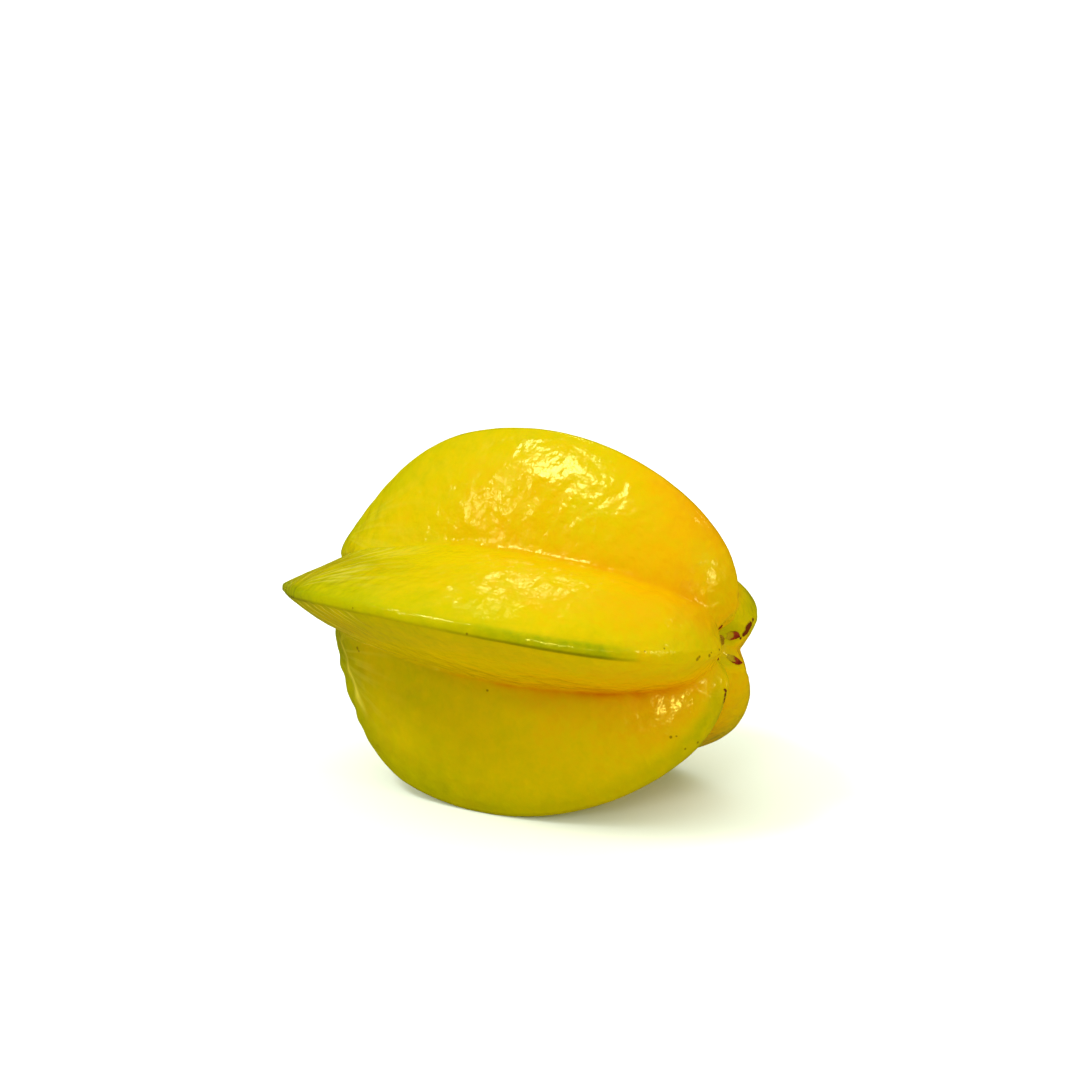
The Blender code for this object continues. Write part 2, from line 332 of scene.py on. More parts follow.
def round_spot(rib, station, across, size_mm):
    """A soft spot of height 1 on one rib, this far from its middle to its edge."""
    mine = (rib_of_column == RIB_NAMES.index(rib))[None, :]
    row, column = grid_place(rib, station, across)
    away_x = skin[..., 0] - skin[row, column, 0]
    away_side = crest_side_mm - crest_side_mm[row, column]
    return np.where(mine, np.exp(-(away_x**2 + away_side**2) / size_mm**2), 0.0)


# The rim round the blossom pit is worn round, least at the front fin's sharp tip.
RIM_ROUND_TIMES = 30
rim = per_rib({"front": 0.15}, 1.0) * soft_step(station_grid, 0.75, 0.95)
rim = rim * (1.0 - soft_step(station_grid, 1.05, 1.20))
skin = rounded(skin, rim, RIM_ROUND_TIMES, axis=0)

# Swellings, as the cells and vessels under the skin push it out: size and height in mm.
# They are lower on the crests and die out in both pits.
SWELLINGS = ((14.0, 0.30), (6.0, 0.14), (2.6, 0.085))
CREST_CALM = 0.35
pit_calm = soft_step(station_grid, 0.35, 1.0) * (1.0 - soft_step(station_grid, 3.1, 3.6))
calm = CREST_CALM + (1.0 - CREST_CALM) * soft_step(crest_mm, 1.5, 6.0)
uneven = sum(
    height * noise_at(skin, size_mm, seed)
    for seed, (size_mm, height) in enumerate(SWELLINGS, start=1)
)
# The thin fins are pinched and lumpy at the blossom end, most of all the lower front one:
# how high the lumps stand on each rib, in mm.
PINCHED = {
    "front": 0.15,
    "top": 0.15,
    "back_upper": 0.20,
    "back_lower": 0.25,
    "front_lower": 0.70,
}
LUMP_SIZE = 3.6
lumps = per_rib(PINCHED) * noise_at(skin, LUMP_SIZE, 4) * hump(station_grid, 1.24, 0.22)
lumps = lumps * hump(crest_mm, 3.0, 6.0)
# A fine groove runs along both sides of the crest band.
GROOVE_DEPTH = 0.14
groove = -GROOVE_DEPTH * hump(crest_mm, 2.1, 0.45) * soft_step(station_grid, 1.05, 1.5)
groove = groove * (1.0 - soft_step(station_grid, 2.6, 2.95))
# The skin puckers where the ribs run together at the stalk.
PUCKER_SIZE = 2.0
PUCKER_DEPTH = 0.30
puckers = -PUCKER_DEPTH * np.abs(noise_at(skin, PUCKER_SIZE, 5))
puckers = puckers * hump(station_grid, 2.98, 0.12)
raised = uneven * calm * pit_calm + lumps + groove + puckers
skin = skin + grid_normals(skin) * raised[..., None]

# How ripe the skin is, from green at 0 to deep golden at 1: golden towards the stalk and
# in the creases, greener towards the blossom end and the crests. For each rib, its middle
# value, how much riper it is at the stalk and how much greener on the crest.
RIPENESS = {
    "front": (0.50, 0.18, 0.15),
    "top": (0.58, 0.15, 0.12),
    "back_upper": (0.58, 0.16, 0.14),
    "back_lower": (0.56, 0.16, 0.12),
    # The lower front rib is greener partly by its own colour and partly as painted shade,
    # darker where it is turned from the light.
    "front_lower": (0.43, 0.17, 0.14),
}
ripe_middle, ripe_to_stem, green_to_crest = (
    per_rib({name: values[i] for name, values in RIPENESS.items()}) for i in range(3)
)
RIPER_IN_CREASE = 0.10
GREENER_IN_PIT = 0.14
in_crease = hump(valley_mm, 0.0, 7.0) * soft_step(station_grid, 1.4, 2.4)
ripeness = ripe_middle + ripe_to_stem * skin[..., 0] / HALF_LENGTH
ripeness = ripeness - green_to_crest * hump(crest_mm, 0.0, 9.0)
ripeness = ripeness + RIPER_IN_CREASE * in_crease
ripeness = ripeness - GREENER_IN_PIT * soft_step(station_grid, 3.05, 3.35)
# Riper and less ripe places: rib, station, place across, size in mm and how much riper.
RIPE_PLACES = (
    ("top", 2.38, -0.03, 4.5, 0.12),
    ("top", 2.50, -0.03, 4.5, 0.14),
    ("top", 2.62, -0.03, 5.0, 0.16),
    ("top", 2.74, -0.05, 5.0, 0.18),
    ("top", 2.70, -0.50, 7.0, 0.14),
    ("top", 2.30, -0.57, 13.0, -0.12),
    ("top", 2.86, -0.60, 7.0, -0.25),
    ("front", 2.60, 0.45, 9.0, 0.02),
    ("front", 2.85, 0.22, 6.0, -0.06),
    ("front", 2.35, 0.88, 6.0, -0.10),
    # Painted shade: the back upper rib's shoulder by the stalk is set greener and darker,
    # where it is turned from the light.
    ("back_upper", 2.94, -0.42, 8.0, -0.32),
    ("back_lower", 2.88, 0.49, 8.0, -0.12),
    ("front_lower", 2.68, 0.70, 9.0, 0.08),
    ("front_lower", 1.38, 0.60, 9.0, 0.12),
    ("front", 1.55, -0.30, 9.0, 0.12),
    ("front", 1.18, 0.25, 10.0, 0.14),
)
for rib, station, across, size_mm, more in RIPE_PLACES:
    ripeness = ripeness + more * round_spot(rib, station, across, size_mm)

# Painted shade: a faint brown darkening on the lower front rib near its crest, towards the
# blossom end where it faces the table: rib, station, place across, size in mm and how
# strong.
PAINTED_SHADE_PLACES = (
    ("front_lower", 1.45, 0.08, 13.0, 0.42),
    ("front_lower", 1.90, 0.25, 15.0, 0.25),
)
bronzed = sum(
    strong * round_spot(rib, station, across, size_mm)
    for rib, station, across, size_mm, strong in PAINTED_SHADE_PLACES
)

# The crest band stays green longest: (station, how green) along each rib. It lies towards
# the upper side and is widest on the lower front rib. The painted shade along its lower
# edge follows the same table, faintest on the lower front rib.
CREST_GREEN = {
    "front": (
        (1.0, 1.0), (1.35, 0.95), (1.6, 0.45), (2.05, 0.25), (2.3, 0.9), (2.55, 1.0),
        (2.68, 0.0),
    ),
    "top": ((1.0, 0.35), (1.9, 0.10), (2.0, 0.0)),
    "back_upper": ((1.0, 0.6), (2.0, 0.5), (2.3, 0.0)),
    "back_lower": ((1.0, 0.5), (2.1, 0.4), (2.4, 0.0)),
    "front_lower": (
        (1.0, 0.5), (1.6, 0.35), (2.4, 0.2), (2.65, 0.4), (2.8, 0.6), (2.92, 0.6),
        (3.0, 0.0),
    ),
}
green_along = along_rib(CREST_GREEN) * soft_step(station_grid, 0.9, 1.05)
crest_green = green_along * soft_step(crest_side_mm, -1.5, -0.9)
green_width_mm = per_rib({"front_lower": 6.5}, 2.5)
crest_green = crest_green * (1.0 - soft_step(crest_side_mm / green_width_mm, 0.4, 1.0))
# Painted shade along the crest's lower edge where the crest is green, faintest on the lower
# front rib.
dark_edge = green_along * per_rib({"front_lower": 0.25}, 1.0)

# How strong the painted shade is in the crease that follows each rib: an amber darkening,
# as light bounced in the crease, strongest in the lower front crease. It fades before the
# stem.
CREASE_SHADE = {
    "front": 0.28,
    "top": 0.50,
    "back_upper": 0.60,
    "back_lower": 0.60,
    "front_lower": 1.0,
}
after_rib = np.array([CREASE_SHADE[name] for name in RIB_NAMES])
crease_shade_of_column = np.where(
    side_of_column >= 0, after_rib[rib_of_column], after_rib[rib_of_column - 1]
)[None, :]
# Painted shade along each crease, from station 1.5 on and fading before the stem.
amber = crease_shade_of_column * hump(valley_mm, 0.0, 1.5) * soft_step(station_grid, 1.5, 2.4)
amber = amber * (1.0 - soft_step(station_grid, 2.66, 2.90))

# Pale fibres fan out from the crest near each fin tip, over both flanks: the station that
# they leave it from, and how strong they are. A fan points at the crest a little further on.
FANS = {
    "front": (1.32, 0.60),
    "top": (1.05, 0.15),
    "back_upper": (1.10, 0.50),
    "back_lower": (1.10, 0.50),
    "front_lower": (1.08, 0.25),
}
FAN_AIM = 0.35


def fan_place(points):
    """Each point seen from its own rib's fan: angle off the crest, and distance."""
    angle = np.zeros(points.shape[:2])
    away = np.zeros(points.shape[:2])
    for number, name in enumerate(RIB_NAMES):
        mine = rib_of_column == number
        start, _ = FANS[name]
        middle = skin_at(name, np.array(start), np.array(0.0))
        ahead = skin_at(name, np.array(start + FAN_AIM), np.array(0.0)) - middle
        ahead /= np.linalg.norm(ahead)
        offset = points[:, mine] - middle
        forward = offset @ ahead
        aside = np.linalg.norm(offset - forward[..., None] * ahead, axis=-1)
        angle[:, mine] = np.arctan2(aside, forward) * side_of_column[mine]
        away[:, mine] = np.linalg.norm(offset, axis=-1)
    return angle, away


fan_angle, fan_away = fan_place(skin)
fibres = per_rib({name: strong for name, (_, strong) in FANS.items()})
fibres = fibres * soft_step(np.abs(fan_angle), 0.10, 0.45) * soft_step(fan_away, 2.5, 6.0)
fibres = fibres * (1.0 - soft_step(fan_away, 16.0, 34.0)) * soft_step(station_grid, 0.85, 1.0)
# Under the front crest they are few, broad and pale, and leave it aslant, side by side.
under_front = (per_rib({"front": 1.0}) * (side_of_column < 0)) > 0
from_tip_mm = np.abs(skin[..., 0] - skin[STATION_STEPS[0] - 1, crest_columns[0], 0])
# SLANT is how far they run back along the fruit for each millimetre from the crest.
SLANT = 1.1
aslant_mm = from_tip_mm - SLANT * crest_mm
broad_fibres = soft_step(crest_mm, 0.8, 2.6) * (1.0 - soft_step(aslant_mm, 28.0, 44.0))
broad_fibres = broad_fibres * (1.0 - soft_step(from_tip_mm, 38.0, 52.0))
broad_fibres = np.where(under_front, broad_fibres * soft_step(station_grid, 0.95, 1.05), 0.0)
fibres = np.where(under_front, 0.0, fibres)
# One long pale fibre stands out beside the lower front crest, near its blossom end.
lone_fibre = hump(crest_side_mm, 5.4, 0.6) * per_rib({"front_lower": 1.0})
lone_fibre = lone_fibre * soft_step(station_grid, 1.04, 1.12)
lone_fibre = lone_fibre * (1.0 - soft_step(station_grid, 1.32, 1.48))

# Where leaves and twigs have rubbed the skin dull, near the stem end of the front crest.
scuffed = round_spot("front", 2.77, 0.07, 3.2)

skin_attributes = {
    "ripeness": ripeness, "crest_green": crest_green, "dark_edge": dark_edge,
    "crest_side_mm": crest_side_mm, "amber": amber, "bronzed": bronzed, "fibres": fibres,
    "lone_fibre": lone_fibre, "broad_fibres": broad_fibres, "aslant_mm": aslant_mm,
    "fan_angle": fan_angle, "fan_away": fan_away, "scuffed": scuffed,
}

# Corky red-brown scars at the stem end and small brown specks: rib, station, place across
# and radius in mm. A long scar is a row of them.
SCARS = (
    ("back_upper", 3.22, 0.42, 0.30),
    ("back_upper", 3.18, 0.20, 0.60),
    ("back_upper", 3.15, 0.06, 0.78),
    ("back_upper", 3.09, -0.04, 0.90),
    ("back_upper", 3.03, -0.07, 0.85),
    ("back_upper", 2.99, -0.084, 0.66),
    ("back_upper", 2.96, -0.084, 0.45),
    ("front_lower", 2.985, 0.10, 0.34),
    ("front_lower", 2.975, 0.07, 0.42),
    ("front_lower", 2.97, 0.04, 0.44),
    ("front_lower", 2.96, 0.0, 0.42),
    ("front_lower", 2.95, -0.05, 0.34),
)
SPECKS = (
    ("front", 2.87, -0.03, 0.42),
    ("front", 2.885, -0.01, 0.34),
    ("front", 2.93, -0.02, 0.44),
    ("front", 2.945, 0.03, 0.24),
    ("front", 2.99, 0.05, 0.24),
    ("front", 2.17, -0.03, 0.30),
    ("front", 1.77, -0.01, 0.24),
    ("front", 1.29, -0.93, 0.30),
    ("front_lower", 1.20, 0.84, 0.46),
    ("front_lower", 1.22, 0.80, 0.30),
    ("front_lower", 1.99, 0.93, 0.28),
    ("front_lower", 2.70, 0.39, 0.34),
    ("front_lower", 2.72, 0.36, 0.22),
    ("front_lower", 2.79, 0.04, 0.26),
    ("front_lower", 2.74, 0.11, 0.24),
    ("front", 2.68, 0.05, 0.22),
    ("front", 2.74, 0.09, 0.24),
    ("back_upper", 2.30, 0.40, 0.40),
    ("back_lower", 1.80, -0.30, 0.36),
    ("top", 2.20, 0.50, 0.36),
)
# How far the edges of scars and specks wander, in metres.
RAGGED = 0.5 * MM


def spot_centres(spots):
    """Centres in metres and radii in metres of some small round marks on the skin."""
    found = []
    for rib, station, across, radius in spots:
        row, column = grid_place(rib, station, across)
        found.append((tuple((skin[row, column] + into_frame) * MM), radius * MM))
    return found


def tube_faces(rings, around):
    """Point numbers of a tube's rings, those one place on, and the faces between rings."""
    ids = np.arange(rings * around).reshape(rings, around)
    after = np.roll(ids, -1, axis=1)
    quads = np.stack([ids[:-1], after[:-1], after[1:], ids[1:]], axis=-1).reshape(-1, 4)
    return ids, after, quads.tolist()


def skin_mesh(points, attributes):
    """The closed mesh of the rings and both pit centres, resting flat at height 0."""
    rings, around = points.shape[:2]
    pits = [turned(BLOSSOM_PIT_X, 0.0, 0.0), turned(STEM_PIT_X, 0.0, 0.0)]
    placed = (np.vstack([points.reshape(-1, 3), pits]) + into_frame) * MM
    placed[:, 2] = np.maximum(placed[:, 2], 0.0)
    ids, after, quads = tube_faces(rings, around)
    first, last = rings * around, rings * around + 1
    fans = [(first, after[0, i], ids[0, i]) for i in range(around)]
    fans += [(last, ids[-1, i], after[-1, i]) for i in range(around)]
    mesh = bpy.data.meshes.new("fruit_skin")
    mesh.from_pydata(placed.tolist(), [], quads + fans)
    for name, values in attributes.items():
        ends = [float(values[0].mean()), float(values[-1].mean())]
        flat = np.concatenate([values.reshape(-1), ends]).astype(np.float32)
        mesh.attributes.new(name, "FLOAT", "POINT").data.foreach_set("value", flat)
    return mesh


def linear(colour):
    """Linear red, green, blue and alpha of an sRGB hex value."""
    channels = [int(colour[i : i + 2], 16) / 255.0 for i in (1, 3, 5)]
    curved = [c / 12.92 if c <= 0.04045 else ((c + 0.055) / 1.055) ** 2.4 for c in channels]
    return (*curved, 1.0)


def add(tree, kind, settings=(), **inputs):
    """A node with its settings, and with each input set or linked.

    Input names have underscores for spaces, or are _0, _1 and so on for an input's number.
    """
    made = tree.nodes.new(kind)
    for name, value in dict(settings).items():
        if name == "stops":
            elements = made.color_ramp.elements
            while len(elements) < len(value):
                elements.new(0.5)
            for element, (position, colour) in zip(elements, value):
                element.position = position
                element.color = linear(colour)
        else:
            setattr(made, name, value)
    for name, value in inputs.items():
        number = name[1:]
        socket = made.inputs[int(number) if number.isdigit() else name.replace("_", " ")]
        if isinstance(value, bpy.types.Node):
            value = value.outputs[0]
        if isinstance(value, bpy.types.NodeSocket):
            tree.links.new(value, socket)
        else:
            socket.default_value = linear(value) if isinstance(value, str) else value
    return made


def scale_of(size_mm):
    """Scale of a noise whose features are about this size, in millimetres."""
    return 1000.0 / size_mm


def new_tree(name):
    """A material with an empty tree."""
    material = bpy.data.materials.new(name)
    material.use_nodes = True
    material.node_tree.nodes.clear()
    return material, material.node_tree


def waxy_carambola_skin():
    """Ripe fruit skin under its own wax: a soft gloss over flesh that glows a little.

    The eye sees golden yellow with green crests and pale fibres at the tips, and highlights
    broken up by an uneven surface. Painted shade darkens the creases in amber, the crests'
    lower edges in olive and the lower front rib in brown.
    """
    material, tree = new_tree("waxy_carambola_skin")
    place = add(tree, "ShaderNodeTexCoord").outputs["Object"]
    at = {
        name: add(tree, "ShaderNodeAttribute", {"attribute_name": name}).outputs["Fac"]
        for name in skin_attributes
    }

    # Clouds of 12 mm, mottles of 3 mm and freckles of 1 mm shift how ripe the skin looks.
    ripe = at["ripeness"]
    for size_mm, depth in ((12.0, 0.20), (3.0, 0.17), (1.0, 0.14)):
        cloud = add(tree, "ShaderNodeTexNoise", Vector=place, Scale=scale_of(size_mm))
        shift = add(
            tree, "ShaderNodeMath", {"operation": "MULTIPLY_ADD"}, _0=cloud, _1=depth,
            _2=-0.5 * depth,
        )
        ripe = add(tree, "ShaderNodeMath", {"operation": "ADD"}, _0=ripe, _1=shift)
    colour = add(
        tree, "ShaderNodeValToRGB",
        {"stops": (
            (0.0, "#98A80A"), (0.28, "#CCC600"), (0.50, "#E8CE00"), (0.72, "#F4BE00"),
            (1.0, "#F09C00"),
        )},
        Fac=ripe,
    )
    # What lies over that colour, each over the ones before: how much of it, and its colour.
    covers = []

    # Painted shade on the lower front rib, a brownish darkening in clouds of 4 mm.
    clouds = add(tree, "ShaderNodeTexNoise", Vector=place, Scale=scale_of(4.0), Detail=3.0)
    clouds = add(
        tree, "ShaderNodeMapRange", Value=clouds, From_Min=0.35, From_Max=0.65, To_Min=0.6
    )
    bronzed = add(
        tree, "ShaderNodeMath", {"operation": "MULTIPLY"}, _0=at["bronzed"], _1=clouds
    )
    covers.append((bronzed, "#947400"))

    # Painted shade along the creases, amber as light bounced there, broken up over 5 mm.
    broken = add(tree, "ShaderNodeTexNoise", Vector=place, Scale=scale_of(5.0))
    broken = add(
        tree, "ShaderNodeMapRange", Value=broken, From_Min=0.25, From_Max=0.65, To_Min=0.35,
        To_Max=0.9,
    )
    amber = add(tree, "ShaderNodeMath", {"operation": "MULTIPLY"}, _0=at["amber"], _1=broken)
    covers.append((amber, "#E07C00"))

    # The crest's green breaks up into short strokes of 2 mm.
    strokes = add(tree, "ShaderNodeTexNoise", Vector=place, Scale=scale_of(2.0))
    strokes = add(
        tree, "ShaderNodeMapRange", Value=strokes, From_Min=0.3, From_Max=0.6, To_Min=0.6
    )
    green = add(
        tree, "ShaderNodeMath", {"operation": "MULTIPLY"}, _0=at["crest_green"], _1=strokes
    )
    covers.append((green, "#A6B000"))
    # Painted shade: the crest's lower edge, 1.1 mm below its middle, is darkened to olive.
    edge = add(tree, "ShaderNodeMath", {"operation": "ADD"}, _0=at["crest_side_mm"], _1=1.1)
    edge = add(tree, "ShaderNodeMath", {"operation": "ABSOLUTE"}, _0=edge)
    edge = add(
        tree, "ShaderNodeMapRange", Value=edge, From_Min=0.15, From_Max=0.6, To_Min=0.75,
        To_Max=0.0,
    )
    edge = add(tree, "ShaderNodeMath", {"operation": "MULTIPLY"}, _0=edge, _1=at["dark_edge"])
    covers.append((edge, "#7C7800"))

    # Fibres under 1 mm wide, from a noise of 9 to a radian of the fan that is drawn out to
    # 20 mm away from the fan's middle.
    angle = add(tree, "ShaderNodeMath", {"operation": "MULTIPLY"}, _0=at["fan_angle"], _1=9.0)
    away = add(
        tree, "ShaderNodeMath", {"operation": "MULTIPLY"}, _0=at["fan_away"], _1=1.0 / 20.0
    )
    fan = add(tree, "ShaderNodeCombineXYZ", _0=angle, _1=away)
    strand = add(tree, "ShaderNodeTexNoise", Vector=fan, Scale=1.0, Detail=3.0)
    strand = add(tree, "ShaderNodeMapRange", Value=strand, From_Min=0.49, From_Max=0.61)
    fibre = add(tree, "ShaderNodeMath", {"operation": "MULTIPLY"}, _0=strand, _1=at["fibres"])
    # The broad ones are about 1 mm wide, from a noise of 1.7 mm.
    aslant = add(
        tree, "ShaderNodeMath", {"operation": "MULTIPLY"}, _0=at["aslant_mm"], _1=1.0 / 1.7
    )
    aslant = add(tree, "ShaderNodeCombineXYZ", _0=aslant, _1=away, _2=4.0)
    broad = add(tree, "ShaderNodeTexNoise", Vector=aslant, Scale=1.0, Detail=1.0)
    broad = add(tree, "ShaderNodeMapRange", Value=broad, From_Min=0.54, From_Max=0.61)
    broad = add(
        tree, "ShaderNodeMath", {"operation": "MULTIPLY"}, _0=broad, _1=at["broad_fibres"]
    )
    for other in (broad, at["lone_fibre"]):
        fibre = add(tree, "ShaderNodeMath", {"operation": "MAXIMUM"}, _0=fibre, _1=other)
    pale = add(tree, "ShaderNodeMath", {"operation": "MULTIPLY"}, _0=fibre, _1=0.85)
    covers.append((pale, "#F6EA5C"))

    # Scars and specks have ragged edges: each place is shaken by a noise of 0.9 mm, by up
    # to RAGGED, and the marks' centres are moved by half of that.
    shake = add(tree, "ShaderNodeTexNoise", Vector=place, Scale=scale_of(0.9))
    shaken = add(
        tree, "ShaderNodeVectorMath", {"operation": "MULTIPLY_ADD"},
        _0=shake.outputs["Color"], _1=(RAGGED, RAGGED, RAGGED), _2=place,
    )
    marks = []
    for spots in (SCARS, SPECKS):
        mark = 0.0
        for (x, y, z), radius in spot_centres(spots):
            centre = (x + 0.5 * RAGGED, y + 0.5 * RAGGED, z + 0.5 * RAGGED)
            gap = add(
                tree, "ShaderNodeVectorMath", {"operation": "DISTANCE"}, _0=shaken, _1=centre
            )
            spot = add(
                tree, "ShaderNodeMapRange", Value=gap.outputs["Value"],
                From_Min=0.7 * radius, From_Max=1.2 * radius, To_Min=1.0, To_Max=0.0,
            )
            mark = add(tree, "ShaderNodeMath", {"operation": "MAXIMUM"}, _0=mark, _1=spot)
        marks.append(mark)
    scar, speck = marks
    faint_speck = add(tree, "ShaderNodeMath", {"operation": "MULTIPLY"}, _0=speck, _1=0.65)
    covers += [(scar, "#741C0A"), (faint_speck, "#6E4A08")]

    for share, cover in covers:
        colour = add(
            tree, "ShaderNodeMix", {"data_type": "RGBA"}, _0=share, _6=colour, _7=cover
        ).outputs[2]

    # Relief in mm: standing fibres, dimples of 3.8 mm, cells of 1.3 mm, sunken scars, and
    # scuffs of 0.7 mm. Real cells are too fine to show, so they are drawn this coarse.
    relief = add(tree, "ShaderNodeMath", {"operation": "MULTIPLY"}, _0=fibre, _1=0.06)
    dimples, cells = (
        add(tree, "ShaderNodeTexNoise", Vector=place, Scale=scale_of(size_mm), Detail=1.0)
        for size_mm in (3.8, 1.3)
    )
    scuffs = add(tree, "ShaderNodeTexNoise", Vector=place, Scale=scale_of(0.7))
    scuffs = add(
        tree, "ShaderNodeMath", {"operation": "MULTIPLY"}, _0=scuffs, _1=at["scuffed"]
    )
    for bumps, height in ((dimples, 0.42), (cells, 0.11), (scar, -0.15), (scuffs, 0.12)):
        relief = add(
            tree, "ShaderNodeMath", {"operation": "MULTIPLY_ADD"}, _0=bumps, _1=height,
            _2=relief,
        )
    bump = add(tree, "ShaderNodeBump", Height=relief, Distance=MM, Strength=1.0)

    # The wax is glossier in some places than in others, over 4 mm, and gone from the scars.
    # It shines less in the creases, where the painted shade lies.
    wax = add(tree, "ShaderNodeTexNoise", Vector=place, Scale=scale_of(4.0))
    gloss = add(
        tree, "ShaderNodeMapRange", Value=wax, From_Min=0.3, From_Max=0.7, To_Min=0.14,
        To_Max=0.22,
    )
    gloss = add(
        tree, "ShaderNodeMath", {"operation": "MULTIPLY_ADD"}, _0=scar, _1=0.4, _2=gloss
    )
    shine = add(
        tree, "ShaderNodeMapRange", Value=amber, From_Max=0.3, To_Min=0.5, To_Max=0.12
    )
    shader = add(
        tree, "ShaderNodeBsdfPrincipled", Base_Color=colour, Roughness=gloss, Normal=bump,
        IOR=1.45, Specular_IOR_Level=shine, Specular_Tint="#FFF890",
        Subsurface_Weight=0.15, Subsurface_Radius=(1.0, 0.55, 0.10),
        Subsurface_Scale=4.0 * MM,
    )
    add(tree, "ShaderNodeOutputMaterial", Surface=shader)
    return material


def show(name, mesh, material):
    """The mesh as an object of the scene, with its faces turned outwards and smooth."""
    work = bmesh.new()
    work.from_mesh(mesh)
    bmesh.ops.recalc_face_normals(work, faces=work.faces)
    work.to_mesh(mesh)
    work.free()
    mesh.polygons.foreach_set("use_smooth", [True] * len(mesh.polygons))
    mesh.materials.append(material)
    piece = bpy.data.objects.new(name, mesh)
    bpy.context.scene.collection.objects.link(piece)
    return piece


fruit_skin = show("fruit_skin", skin_mesh(skin, skin_attributes), waxy_carambola_skin())
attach(fruit_skin, "root")
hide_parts("fruit")

# --------------------------------------------------------------------------------------
# Dried sepals.
# Five small leaves once held the flower. They stay in the pit at the stem end, grown to
# the inner slope of each rib at the base, their tips shrivelled to thin red-brown flakes.
# --------------------------------------------------------------------------------------

# Station and place across the rib where each starts and where its tip lies.
SEPAL_RUNS = {
    "front": ((3.76, 0.0), (3.63, 0.0)),
    "top": ((3.76, 0.0), (3.63, 0.0)),
    "back_upper": ((3.62, 0.10), (3.29, 0.30)),
    "back_lower": ((3.58, 0.0), (3.22, -0.18)),
    "front_lower": ((3.76, 0.0), (3.63, 0.0)),
}
# Half width as a share of the way from crest to valley. One of the back pair is narrow.
SEPAL_HALF_WIDTH = 0.38
NARROW_SEPALS = {"back_lower": 0.24}
SEPAL_TIP_HALF_WIDTH = 0.03
# The gap under the dried end, and how high base, blade, veins and ragged edge stand.
SEPAL_GAP_MM = 0.08
SEPAL_BASE_MM = 0.05
SEPAL_THICK_MM = 0.36
SEPAL_VEIN_MM = 0.05
SEPAL_RAGGED_MM = 0.10
SEPAL_STEPS = (28, 14)
# A step of station or place across that gives the slope, taken just off the crest line.
SLOPE_STEP = 0.02
OFF_CREST = 0.01


def sepal_mesh(name, seed):
    """A thin curled flake along a rib's inner slope, with a ragged point and raised veins."""
    steps, widths = SEPAL_STEPS
    share = np.linspace(0.0, 1.0, steps + 1)[:, None]
    aside = np.linspace(-1.0, 1.0, widths + 1)[None, :]
    (start, start_across), (tip, tip_across) = SEPAL_RUNS[name]
    station = start + (tip - start) * share
    middle = start_across + (tip_across - start_across) * share
    half = NARROW_SEPALS.get(name, SEPAL_HALF_WIDTH) * np.minimum(1.0, 0.55 + 1.2 * share)
    half = half * (1.0 - share**2.2) + SEPAL_TIP_HALF_WIDTH
    place = skin_at(name, station, middle + half * aside)
    near = middle + OFF_CREST + 0.0 * aside
    ahead = skin_at(name, station + SLOPE_STEP, near)
    behind = skin_at(name, station - SLOPE_STEP, near)
    above = skin_at(name, station, near + SLOPE_STEP)
    below = skin_at(name, station, near - SLOPE_STEP)
    normal = np.cross(ahead - behind, above - below)
    normal /= np.linalg.norm(normal, axis=-1, keepdims=True)
    normal = normal * np.sign(normal[..., :1])
    ragged = noise_at(place, 0.7, seed)
    # The base has grown together with the skin; only the dried end stands off it.
    dried = soft_step(share, 0.15, 0.55)
    thin = SEPAL_THICK_MM * (1.0 - 0.55 * aside**2) * (1.0 - 0.35 * share)
    vein = SEPAL_VEIN_MM * np.cos(aside * 5.0 * math.pi) * (1.0 - share)
    height = SEPAL_GAP_MM + thin + vein + SEPAL_RAGGED_MM * ragged
    height = SEPAL_BASE_MM + dried * height
    top = place + normal * height[..., None]
    bottom = place + normal * (SEPAL_GAP_MM * dried)[..., None]
    rows, row = steps + 1, widths + 1
    count = rows * row
    points = (np.concatenate([top.reshape(-1, 3), bottom.reshape(-1, 3)]) + into_frame) * MM
    ids = np.arange(count).reshape(rows, row)
    faces = np.stack([ids[:-1, :-1], ids[:-1, 1:], ids[1:, 1:], ids[1:, :-1]], axis=-1)
    faces = faces.reshape(-1, 4)
    rim = [*ids[0, :-1], *ids[:-1, -1], *ids[-1, :0:-1], *ids[:0:-1, 0]]
    rim = [int(i) for i in rim]
    sides = [(b, a, a + count, b + count) for a, b in zip(rim, rim[1:] + rim[:1])]
    mesh = bpy.data.meshes.new(name)
    mesh.from_pydata(
        points.tolist(), [], faces.tolist() + (faces[:, ::-1] + count).tolist() + sides
    )
    shares = np.tile(np.repeat(share[:, 0], row), 2).astype(np.float32)
    mesh.attributes.new("share", "FLOAT", "POINT").data.foreach_set("value", shares)
    return mesh


